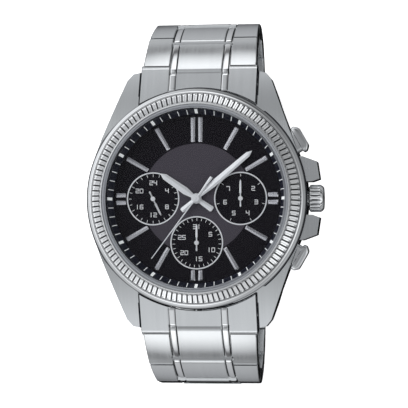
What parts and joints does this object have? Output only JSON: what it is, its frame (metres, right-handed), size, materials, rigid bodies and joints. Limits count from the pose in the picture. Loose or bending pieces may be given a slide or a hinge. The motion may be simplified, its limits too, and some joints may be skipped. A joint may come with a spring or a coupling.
{
  "type": "multi-dial wristwatch with steel bracelet",
  "caption": "Steel bracelet wristwatch with fluted bezel, black dial, small 24-hour, weekday and date dials, crown, corrector pushers and a closed link bracelet with folding clasp.",
  "frame": {"origin": "centre of the case back's outer face, on the axis of the hands", "axes": "+Z out of the dial, +Y towards 12 o'clock, +X towards the crown at 3 o'clock"},
  "size_m": [0.0458, 0.0728, 0.0487],
  "materials": {
    "brushed_steel": "fine brushed stainless steel",
    "polished_steel": "polished stainless steel",
    "dial_metal": "polished and satin rhodium-coloured plate",
    "plain_steel": "turned steel",
    "movement_brass": "satin plated brass",
    "dial_black": "black lacquer with a charcoal centre",
    "chapter_black": "satin black with white printed minute track",
    "mineral_glass": "clear flat mineral glass",
    "white_seal": "nylon",
    "black_rubber": "nitrile",
    "cream_plastic": "moulded",
    "board_green": "solder resist",
    "copper_wire": "lacquered copper winding"
  },
  "bodies": {
    "watch_head": {"case": "brushed_steel", "case_back": "brushed_steel", "back_gasket": "black_rubber", "bezel": "polished_steel", "crystal": "mineral_glass", "crystal_gasket": "white_seal", "chapter_ring": "chapter_black", "dial": "dial_black", "hour_markers": "dial_metal", "small_dial_rings": "dial_metal", "movement_holder": "cream_plastic", "main_plate": "movement_brass", "train_bridge": "movement_brass", "circuit_board": "board_green", "coil": "copper_wire", "battery": "plain_steel", "battery_strap": "movement_brass", "crown_tube": "polished_steel", "upper_pusher_spring": "plain_steel", "lower_pusher_spring": "plain_steel", "upper_end_link": "brushed_steel", "lower_end_link": "brushed_steel", "lug_spring_bars": "plain_steel"},
    "setting_lever": {"setting_lever": "plain_steel"},
    "crown": {"crown": "polished_steel", "crown_stem": "polished_steel"},
    "upper_pusher": {"upper_pusher": "polished_steel", "pusher_clips_upper": "plain_steel"},
    "lower_pusher": {"lower_pusher": "polished_steel", "pusher_clips_lower": "plain_steel"},
    "hour_hand": {"hour_hand": "dial_metal"},
    "minute_hand": {"minute_hand": "dial_metal"},
    "second_hand": {"second_hand": "dial_metal"},
    "hand_24h": {"hand_24h": "dial_metal"},
    "weekday_hand": {"weekday_hand": "dial_metal"},
    "date_hand": {"date_hand": "dial_metal"},
    "upper_row_1": {"upper_link_1": "brushed_steel"},
    "upper_row_2": {"upper_link_2": "brushed_steel"},
    "upper_row_3": {"upper_link_3": "brushed_steel"},
    "upper_row_4": {"upper_link_4": "brushed_steel"},
    "upper_row_5": {"upper_link_5": "brushed_steel"},
    "upper_row_6": {"upper_link_6": "brushed_steel"},
    "lower_row_1": {"lower_link_1": "brushed_steel"},
    "lower_row_2": {"lower_link_2": "brushed_steel"},
    "lower_row_3": {"lower_link_3": "brushed_steel"},
    "lower_row_4": {"lower_link_4": "brushed_steel"},
    "lower_row_5": {"lower_link_5": "brushed_steel"},
    "lower_row_6": {"lower_link_6": "brushed_steel"},
    "clasp_inner_leaf": {"clasp_inner_leaf": "brushed_steel"},
    "clasp_middle_leaf": {"clasp_middle_leaf": "brushed_steel", "clasp_fold_pin": "plain_steel", "clasp_cover_pin": "plain_steel"},
    "clasp_cover": {"clasp_cover": "brushed_steel"},
    "clasp_button_left": {"clasp_button_left": "polished_steel"},
    "clasp_button_right": {"clasp_button_right": "polished_steel"}
  },
  "joints": [
    {"name": "crown_pull", "type": "slide", "parent": "watch_head", "child": "setting_lever", "axis": [1, 0, 0], "range_m": [0, 0.0012]},
    {"name": "crown_turn", "type": "hinge", "parent": "setting_lever", "child": "crown", "pos_m": [0.022, 0, 0.00375], "axis": [1, 0, 0], "continuous": true},
    {"name": "upper_pusher_press", "type": "slide", "parent": "watch_head", "child": "upper_pusher", "axis": [-0.866, -0.5, 0], "range_m": [0, 0.0007], "stiffness_N_per_m": 600, "springref_m": -0.001},
    {"name": "lower_pusher_press", "type": "slide", "parent": "watch_head", "child": "lower_pusher", "axis": [-0.866, 0.5, 0], "range_m": [0, 0.0007], "stiffness_N_per_m": 600, "springref_m": -0.001},
    {"name": "minute_hand_turn", "type": "hinge", "parent": "watch_head", "child": "minute_hand", "pos_m": [0, 0, 0.006], "axis": [0, 0, -1], "continuous": true},
    {"name": "hour_hand_turn", "type": "hinge", "parent": "watch_head", "child": "hour_hand", "pos_m": [0, 0, 0.006], "axis": [0, 0, -1], "continuous": true},
    {"name": "second_hand_turn", "type": "hinge", "parent": "watch_head", "child": "second_hand", "pos_m": [0, 0, 0.006], "axis": [0, 0, -1], "continuous": true},
    {"name": "hand_24h_turn", "type": "hinge", "parent": "watch_head", "child": "hand_24h", "pos_m": [-0.0085, 0, 0.006], "axis": [0, 0, -1], "continuous": true},
    {"name": "weekday_hand_turn", "type": "hinge", "parent": "watch_head", "child": "weekday_hand", "pos_m": [0.0085, 0, 0.006], "axis": [0, 0, -1], "continuous": true},
    {"name": "date_hand_turn", "type": "hinge", "parent": "watch_head", "child": "date_hand", "pos_m": [0, -0.0085, 0.006], "axis": [0, 0, -1], "continuous": true},
    {"name": "upper_pin_1", "type": "hinge", "parent": "watch_head", "child": "upper_row_1", "pos_m": [0, 0.02475, 0.0008], "axis": [1, 0, 0], "range_deg": [0, 25]},
    {"name": "upper_pin_2", "type": "hinge", "parent": "upper_row_1", "child": "upper_row_2", "pos_m": [0, 0.03079, -0.00445], "axis": [1, 0, 0], "range_deg": [0, 25]},
    {"name": "upper_pin_3", "type": "hinge", "parent": "upper_row_2", "child": "upper_row_3", "pos_m": [0, 0.03435, -0.01161], "axis": [1, 0, 0], "range_deg": [0, 25]},
    {"name": "upper_pin_4", "type": "hinge", "parent": "upper_row_3", "child": "upper_row_4", "pos_m": [0, 0.03488, -0.0196], "axis": [1, 0, 0], "range_deg": [0, 25]},
    {"name": "upper_pin_5", "type": "hinge", "parent": "upper_row_4", "child": "upper_row_5", "pos_m": [0, 0.0323, -0.02717], "axis": [1, 0, 0], "range_deg": [0, 25]},
    {"name": "upper_pin_6", "type": "hinge", "parent": "upper_row_5", "child": "upper_row_6", "pos_m": [0, 0.02701, -0.03317], "axis": [1, 0, 0], "range_deg": [0, 25]},
    {"name": "lower_pin_1", "type": "hinge", "parent": "watch_head", "child": "lower_row_1", "pos_m": [0, -0.02475, 0.0008], "axis": [-1, 0, 0], "range_deg": [0, 25]},
    {"name": "lower_pin_2", "type": "hinge", "parent": "lower_row_1", "child": "lower_row_2", "pos_m": [0, -0.03079, -0.00445], "axis": [-1, 0, 0], "range_deg": [0, 25]},
    {"name": "lower_pin_3", "type": "hinge", "parent": "lower_row_2", "child": "lower_row_3", "pos_m": [0, -0.03435, -0.01161], "axis": [-1, 0, 0], "range_deg": [0, 25]},
    {"name": "lower_pin_4", "type": "hinge", "parent": "lower_row_3", "child": "lower_row_4", "pos_m": [0, -0.03488, -0.0196], "axis": [-1, 0, 0], "range_deg": [0, 25]},
    {"name": "lower_pin_5", "type": "hinge", "parent": "lower_row_4", "child": "lower_row_5", "pos_m": [0, -0.0323, -0.02717], "axis": [-1, 0, 0], "range_deg": [0, 25]},
    {"name": "lower_pin_6", "type": "hinge", "parent": "lower_row_5", "child": "lower_row_6", "pos_m": [0, -0.02701, -0.03317], "axis": [-1, 0, 0], "range_deg": [0, 25]},
    {"name": "clasp_end_pin", "type": "hinge", "parent": "upper_row_6", "child": "clasp_inner_leaf", "pos_m": [0, 0.01982, -0.03668], "axis": [1, 0, 0], "range_deg": [0, 25]},
    {"name": "clasp_fold", "type": "hinge", "parent": "clasp_inner_leaf", "child": "clasp_middle_leaf", "pos_m": [0, -0.01372, -0.03673], "axis": [-1, 0, 0], "range_deg": [0, 100]},
    {"name": "clasp_cover_open", "type": "hinge", "parent": "clasp_middle_leaf", "child": "clasp_cover", "pos_m": [0, 0.01672, -0.03728], "axis": [1, 0, 0], "range_deg": [0, 70]},
    {"name": "clasp_button_left_press", "type": "slide", "parent": "clasp_cover", "child": "clasp_button_left", "axis": [1, 0, 0], "range_m": [0, 0.0004], "stiffness_N_per_m": 500, "springref_m": -0.001},
    {"name": "clasp_button_right_press", "type": "slide", "parent": "clasp_cover", "child": "clasp_button_right", "axis": [-1, 0, 0], "range_m": [0, 0.0004], "stiffness_N_per_m": 500, "springref_m": -0.001}
  ],
  "couplings": [
    {"joint": "hour_hand_turn", "follows": "minute_hand_turn", "ratio": 0.083333},
    {"joint": "hand_24h_turn", "follows": "minute_hand_turn", "ratio": 0.041667}
  ]
}
